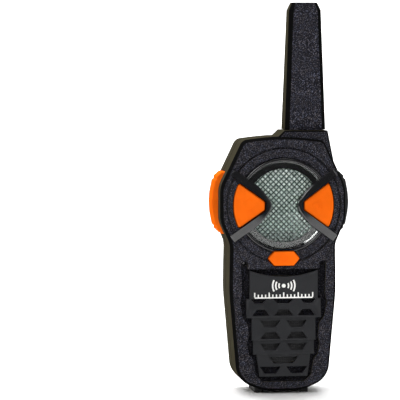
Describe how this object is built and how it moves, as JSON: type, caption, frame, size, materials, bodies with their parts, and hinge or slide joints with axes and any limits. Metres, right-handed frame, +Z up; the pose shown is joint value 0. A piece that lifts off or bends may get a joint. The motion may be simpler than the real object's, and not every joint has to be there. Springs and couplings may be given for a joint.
{
  "type": "walkie talkie",
  "caption": "Hand-held two-way radio with a stub antenna, side talk button, round key group under a domed lens, stepped speaker grille and sprung belt clip.",
  "frame": {"origin": "on the surface the radio stands on, under the middle of its bounding box", "axes": "+Z up along the antenna, +X to the right of someone facing the radio, front faces -Y"},
  "size_m": [0.0572, 0.0323, 0.16],
  "materials": {
    "case_plastic": "fine spark-eroded texture with a faint sparkle",
    "antenna_rubber": "satin moulded rubber",
    "bezel_gloss": "polished black",
    "lens_clear": "clear, polished",
    "prism_silver": "silvered diamond prisms",
    "key_orange": "satin",
    "key_rubber": "soft black rubber",
    "panel_plastic": "smooth satin",
    "foot_rubber": "matt",
    "white_plastic": "light box, moulded white",
    "led_clear": "moulded package",
    "board_green": "solder mask",
    "shield_tin": "tinned sheet",
    "chip_black": "moulded packages",
    "switch_body": "moulded",
    "switch_plunger": "moulded",
    "cloth_black": "woven acoustic cloth",
    "foam_black": "closed-cell foam",
    "speaker_frame": "painted sheet",
    "magnet_zinc": "zinc plated",
    "cone_paper": "treated paper",
    "coil_copper": "enamelled copper wire",
    "cell_wrap": "plain printed sleeve",
    "spring_nickel": "nickel plated",
    "screw_black": "black oxide",
    "pin_steel": "ground",
    "mic_can": "drawn can"
  },
  "bodies": {
    "housing": {"front_shell": "case_plastic", "rear_shell": "case_plastic", "foot_pads": "foot_rubber", "antenna_sleeve": "antenna_rubber", "antenna_coil": "coil_copper", "bezel": "bezel_gloss", "lens": "lens_clear", "prism_plate": "prism_silver", "light_box": "white_plastic", "signal_leds": "led_clear", "key_switches": "switch_body", "side_switches": "switch_body", "grille_panel": "panel_plastic", "grille_cloth": "cloth_black", "speaker_gasket": "foam_black", "speaker_basket": "speaker_frame", "speaker_magnet": "magnet_zinc", "speaker_cone": "cone_paper", "microphone": "mic_can", "microphone_boot": "key_rubber", "circuit_board": "board_green", "radio_shield": "shield_tin", "circuit_chips": "chip_black", "battery_cells": "cell_wrap", "battery_springs": "spring_nickel", "battery_contacts": "spring_nickel", "clip_base": "case_plastic", "clip_pin": "pin_steel", "clip_spring": "spring_nickel", "case_screws": "screw_black", "board_screws": "pin_steel", "clip_screws": "screw_black"},
    "talk_button": {"talk_button": "key_orange", "talk_button_plunger": "switch_plunger"},
    "lamp_button": {"lamp_button": "key_rubber", "lamp_button_plunger": "switch_plunger"},
    "left_key": {"left_key": "key_orange", "left_key_plunger": "switch_plunger"},
    "right_key": {"right_key": "key_orange", "right_key_plunger": "switch_plunger"},
    "power_key": {"power_key": "key_orange", "power_key_plunger": "switch_plunger"},
    "battery_door": {"battery_door": "case_plastic"},
    "belt_clip": {"belt_clip": "case_plastic"}
  },
  "joints": [
    {"name": "talk_press", "type": "slide", "parent": "housing", "child": "talk_button", "axis": [1, 0, 0], "range_m": [0, 0.0012], "stiffness_N_per_m": 700},
    {"name": "lamp_press", "type": "slide", "parent": "housing", "child": "lamp_button", "axis": [-1, 0, 0], "range_m": [0, 0.001], "stiffness_N_per_m": 700},
    {"name": "left_key_press", "type": "slide", "parent": "housing", "child": "left_key", "axis": [0, 1, 0], "range_m": [0, 0.0006], "stiffness_N_per_m": 900},
    {"name": "right_key_press", "type": "slide", "parent": "housing", "child": "right_key", "axis": [0, 1, 0], "range_m": [0, 0.0006], "stiffness_N_per_m": 900},
    {"name": "power_key_press", "type": "slide", "parent": "housing", "child": "power_key", "axis": [0, 1, 0], "range_m": [0, 0.0006], "stiffness_N_per_m": 900},
    {"name": "battery_door_slide", "type": "slide", "parent": "housing", "child": "battery_door", "axis": [0, 0, -1], "range_m": [0, 0.058]},
    {"name": "belt_clip_pivot", "type": "hinge", "parent": "housing", "child": "belt_clip", "pos_m": [0, 0.0142, 0.088], "axis": [1, 0, 0], "range_deg": [0, 12], "stiffness_Nm_per_rad": 0.25, "springref_deg": -6.88}
  ]
}
